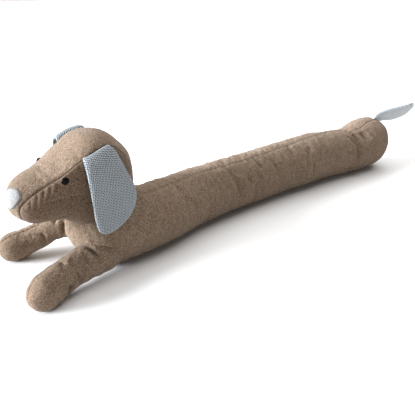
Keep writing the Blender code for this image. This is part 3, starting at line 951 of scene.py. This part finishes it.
class Nodes:
    """A short way to write a material's nodes."""

    def __init__(self, name, roughness, sheen=0.0, specular=0.3):
        self.material = bpy.data.materials.new(name)
        self.material.use_nodes = True
        self.tree = self.material.node_tree
        self.shader = self.tree.nodes["Principled BSDF"]
        self.shader.inputs["Roughness"].default_value = roughness
        self.shader.inputs["Sheen Weight"].default_value = sheen
        self.shader.inputs["Sheen Roughness"].default_value = 0.45
        self.shader.inputs["Specular IOR Level"].default_value = specular

    def add(self, kind, inputs, **settings):
        node = self.tree.nodes.new(kind)
        for key, value in settings.items():
            setattr(node, key, value)
        for key, value in inputs.items():
            if isinstance(value, bpy.types.NodeSocket):
                self.tree.links.new(value, node.inputs[key])
            else:
                node.inputs[key].default_value = value
        return node

    def object_place(self):
        return self.add("ShaderNodeTexCoord", {}).outputs["Object"]

    def cloth_place(self):
        return self.add("ShaderNodeAttribute", {}, attribute_name="cloth").outputs["Vector"]

    def sewn(self, colour, thread, amount):
        """A colour darkened where a seam runs, to the thread's colour with painted shade of the
        seam's groove.
        """
        near = self.add("ShaderNodeAttribute", {}, attribute_name="thread_and_shade").outputs["Fac"]
        return self.mix(self.math("MULTIPLY", near, amount), colour, thread)

    def shifted(self, place, amount):
        """Places moved away, so that a noise there has nothing to do with another one here."""
        inputs = {0: place, 1: (amount, 2.0 * amount, -amount)}
        return self.add("ShaderNodeVectorMath", inputs).outputs[0]

    def noise(self, place, scale, detail=2.0, roughness=0.55):
        inputs = {"Vector": place, "Scale": scale, "Detail": detail, "Roughness": roughness}
        return self.add("ShaderNodeTexNoise", inputs).outputs["Fac"]

    def math(self, operation, a, b=0.0):
        return self.add("ShaderNodeMath", {0: a, 1: b}, operation=operation).outputs[0]

    def ramp(self, value, low, high):
        inputs = {"Value": value, "From Min": low, "From Max": high}
        node = self.add("ShaderNodeMapRange", inputs, interpolation_type="SMOOTHSTEP")
        return node.outputs["Result"]

    def mix(self, factor, a, b, blend="MIX"):
        node = self.tree.nodes.new("ShaderNodeMix")
        node.data_type = "RGBA"
        node.blend_type = blend
        sockets = {"Factor": node.inputs[0], "A": node.inputs[6], "B": node.inputs[7]}
        for key, value in (("Factor", factor), ("A", a), ("B", b)):
            if isinstance(value, bpy.types.NodeSocket):
                self.tree.links.new(value, sockets[key])
            else:
                sockets[key].default_value = value
        return node.outputs[2]

    def colour(self, socket):
        self.tree.links.new(socket, self.shader.inputs["Base Color"])

    def bump(self, height, distance, strength):
        inputs = {"Height": height, "Distance": distance, "Strength": strength}
        node = self.add("ShaderNodeBump", inputs)
        self.tree.links.new(node.outputs["Normal"], self.shader.inputs["Normal"])


def rgb(screen):
    """A colour as it looks on screen (three values, 0 to 255), as the shader's linear colour."""
    def linear(value):
        value /= 255.0
        return value / 12.92 if value <= 0.04045 else ((value + 0.055) / 1.055) ** 2.4
    return (*map(linear, screen), 1.0)


def wool_material():
    """Marled brown wool: dark and pale fibres mixed, flecks of both, and a soft fibrous sheen.
    Painted shade darkens it on the head's side panels, and thread with painted shade along its
    seams.
    """
    n = Nodes("wool_marled", roughness=0.95, sheen=0.1, specular=0.10)
    place = n.object_place()
    coarse = n.noise(place, scale=420, detail=3.0, roughness=0.6)
    fine = n.noise(place, scale=1150, detail=3.0, roughness=0.75)
    strands = n.math("ADD", n.math("MULTIPLY", coarse, 0.3), n.math("MULTIPLY", fine, 0.7))
    colour = n.mix(n.ramp(strands, 0.42, 0.58), rgb(WOOL_DARK), rgb(WOOL_PALE))

    tone = n.noise(place, scale=30, detail=3.0)
    pale = n.noise(n.shifted(place, 1.3), scale=820, detail=1.0)
    dark = n.noise(n.shifted(place, 3.1), scale=700, detail=1.0)
    for noise, low, high, amount, shade in (
        (tone, 0.3, 0.7, 0.25, WOOL_MIDDLE),
        (pale, 0.65, 0.73, 0.6, WOOL_PALE_FLECK),
        (dark, 0.64, 0.72, 0.6, WOOL_DARK_FLECK),
    ):
        factor = n.math("MULTIPLY", n.ramp(noise, low, high), amount)
        colour = n.mix(factor, colour, rgb(shade))

    # Painted shade: the wool is darker on the head's side panels.
    away = n.add("ShaderNodeAttribute", {}, attribute_name="painted_shade").outputs["Fac"]
    colour = n.mix(away, colour, n.mix(1.0, colour, PAINTED_PANEL_SHADE, "MULTIPLY"))
    # Thread and painted shade darken the seams.
    n.colour(n.sewn(colour, rgb(WOOL_THREAD_AND_SHADE), 0.65))
    hairs = n.noise(place, scale=2400, detail=2.0, roughness=0.7)
    n.bump(n.math("ADD", fine, n.math("MULTIPLY", hairs, 0.6)), distance=0.0007, strength=0.7)
    return n.material


def twill_material(name, threads):
    """A bird's-eye twill of a dark and a pale thread: short floats in offset diagonal ridges."""
    dark, pale = map(rgb, threads)
    n = Nodes(name, roughness=0.9, sheen=0.15, specular=0.12)
    place = n.cloth_place()
    split = n.add("ShaderNodeSeparateXYZ", {"Vector": place})
    u, v = split.outputs["X"], split.outputs["Y"]
    wobble = n.math("MULTIPLY", n.noise(place, scale=320), 3.0)

    def wave(way, pitch):
        across = n.math("ADD", n.math("MULTIPLY", u, way[0]), n.math("MULTIPLY", v, way[1]))
        turn = n.math("MULTIPLY", across, math.tau / pitch)
        return n.math("SINE", n.math("ADD", turn, wobble))

    ridge, dash = wave(RIDGE_WAY, TWILL_PITCH), wave(DASH_WAY, TWILL_DASH)
    floats = n.math("ADD", n.math("MULTIPLY", ridge, dash), n.math("MULTIPLY", ridge, 0.35))
    thread = n.ramp(floats, -0.8, 0.8)
    fleck = n.math("MULTIPLY", n.ramp(n.noise(place, scale=900), 0.35, 0.65), 0.35)
    n.colour(n.mix(fleck, n.mix(thread, dark, pale), n.mix(0.5, dark, pale)))
    fibres = n.noise(n.object_place(), scale=1600)
    n.bump(n.math("ADD", thread, n.math("MULTIPLY", fibres, 0.4)), distance=0.0005, strength=0.8)
    return n.material


def felt_material():
    n = Nodes("felt_white", roughness=0.9, sheen=0.15, specular=0.1)
    place = n.object_place()
    mottle = n.ramp(n.noise(place, scale=520, detail=3.0), 0.3, 0.7)
    # The sewn line is darkened by thread and painted shade.
    n.colour(n.sewn(n.mix(mottle, rgb(FELT_DARK), rgb(FELT_PALE)), rgb(FELT_THREAD_AND_SHADE), 0.8))
    n.bump(n.noise(place, scale=1400, detail=3.0), distance=0.0004, strength=0.7)
    return n.material


def eye_material():
    n = Nodes("eye_gloss_black", roughness=0.2, specular=0.05)
    n.colour(n.mix(n.noise(n.object_place(), scale=300), EYE_DARK, EYE_PALE))
    return n.material


def floor_material():
    n = Nodes("floor_pale", roughness=0.9, specular=0.1)
    n.shader.inputs["Base Color"].default_value = (*FLOOR_COLOUR, 1.0)
    return n.material


# --- The stage -----------------------------------------------------------------------------------

def make_floor():
    mesh = bpy.data.meshes.new("floor")
    half = FLOOR_HALF
    corners = [(-half, -half, 0), (half, -half, 0), (half, half, 0), (-half, half, 0)]
    mesh.from_pydata(corners, [], [(0, 1, 2, 3)])
    floor = bpy.data.objects.new("floor", mesh)
    bpy.context.scene.collection.objects.link(floor)
    mesh.materials.append(floor_material())


def make_sun(name, place, strength, softness, colour):
    sun = bpy.data.objects.new(name, bpy.data.lights.new(name, "SUN"))
    sun.data.energy = strength
    sun.data.angle = math.radians(softness)
    sun.data.color = colour
    sun.rotation_euler = Vector(place).to_track_quat("Z", "Y").to_euler()
    bpy.context.scene.collection.objects.link(sun)


def make_room():
    """Pale studio walls all round, up to where they give way to a dim ceiling."""
    world = bpy.data.worlds.new("studio")
    world.use_nodes = True
    tree = world.node_tree
    place = tree.nodes.new("ShaderNodeTexCoord")
    split = tree.nodes.new("ShaderNodeSeparateXYZ")
    height = tree.nodes.new("ShaderNodeMapRange")
    height.inputs["From Min"].default_value, height.inputs["From Max"].default_value = WALL_TOP
    mix = tree.nodes.new("ShaderNodeMix")
    mix.data_type = "RGBA"
    mix.inputs[6].default_value, mix.inputs[7].default_value = (*WALLS, 1.0), (*CEILING, 1.0)
    tree.links.new(place.outputs["Generated"], split.inputs[0])
    tree.links.new(split.outputs["Z"], height.inputs["Value"])
    tree.links.new(height.outputs["Result"], mix.inputs[0])
    tree.links.new(mix.outputs[2], tree.nodes["Background"].inputs["Color"])
    return world


def make_lights():
    make_sun("key", KEY_FROM, KEY_STRENGTH, KEY_SOFTNESS, KEY_COLOUR)
    make_sun("top", TOP_FROM, TOP_STRENGTH, TOP_SOFTNESS, TOP_COLOUR)
    bpy.context.scene.world = make_room()


def make_camera():
    camera = bpy.data.objects.new("camera", bpy.data.cameras.new("camera"))
    camera.data.lens = CAMERA_LENS
    camera.location = CAMERA_PLACE
    camera.rotation_euler = (math.radians(90 - CAMERA_PITCH), 0, math.radians(-CAMERA_HEADING))
    bpy.context.scene.collection.objects.link(camera)
    bpy.context.scene.camera = camera


def main():
    bpy.context.scene.view_settings.view_transform = "Standard"
    make_camera()
    make_lights()
    make_floor()
    wool = wool_material()
    ear_twill = twill_material("twill_ears", EAR_THREADS)
    # The tail's twill is the ears' made paler: painted light on its lit top.
    tail_twill_painted_lit = twill_material("twill_tail_painted_lit", TAIL_THREADS_PAINTED_LIT)
    gloss = eye_material()

    body = make_body(wool)
    head = make_head(wool)
    left_leg = make_leg(
        "foreleg_left", LEFT_LEG, LEFT_LEG_CREASES, LEFT_LEG_TURN, 1, LEFT_LEG_SEED, wool)
    right_leg = make_leg(
        "foreleg_right", RIGHT_LEG, RIGHT_LEG_CREASES, RIGHT_LEG_TURN, -1, RIGHT_LEG_SEED, wool)
    ears = [make_ear("ear_left", -1, LEFT_EAR_LIE, LEFT_EAR_SEED, ear_twill),
            make_ear("ear_right", 1, RIGHT_EAR_LIE, RIGHT_EAR_SEED, ear_twill)]
    tail = make_tail(tail_twill_painted_lit)
    make_eye("eye_left", -1, gloss)
    make_eye("eye_right", 1, gloss)
    patch = make_patch(head, felt_material())


main()
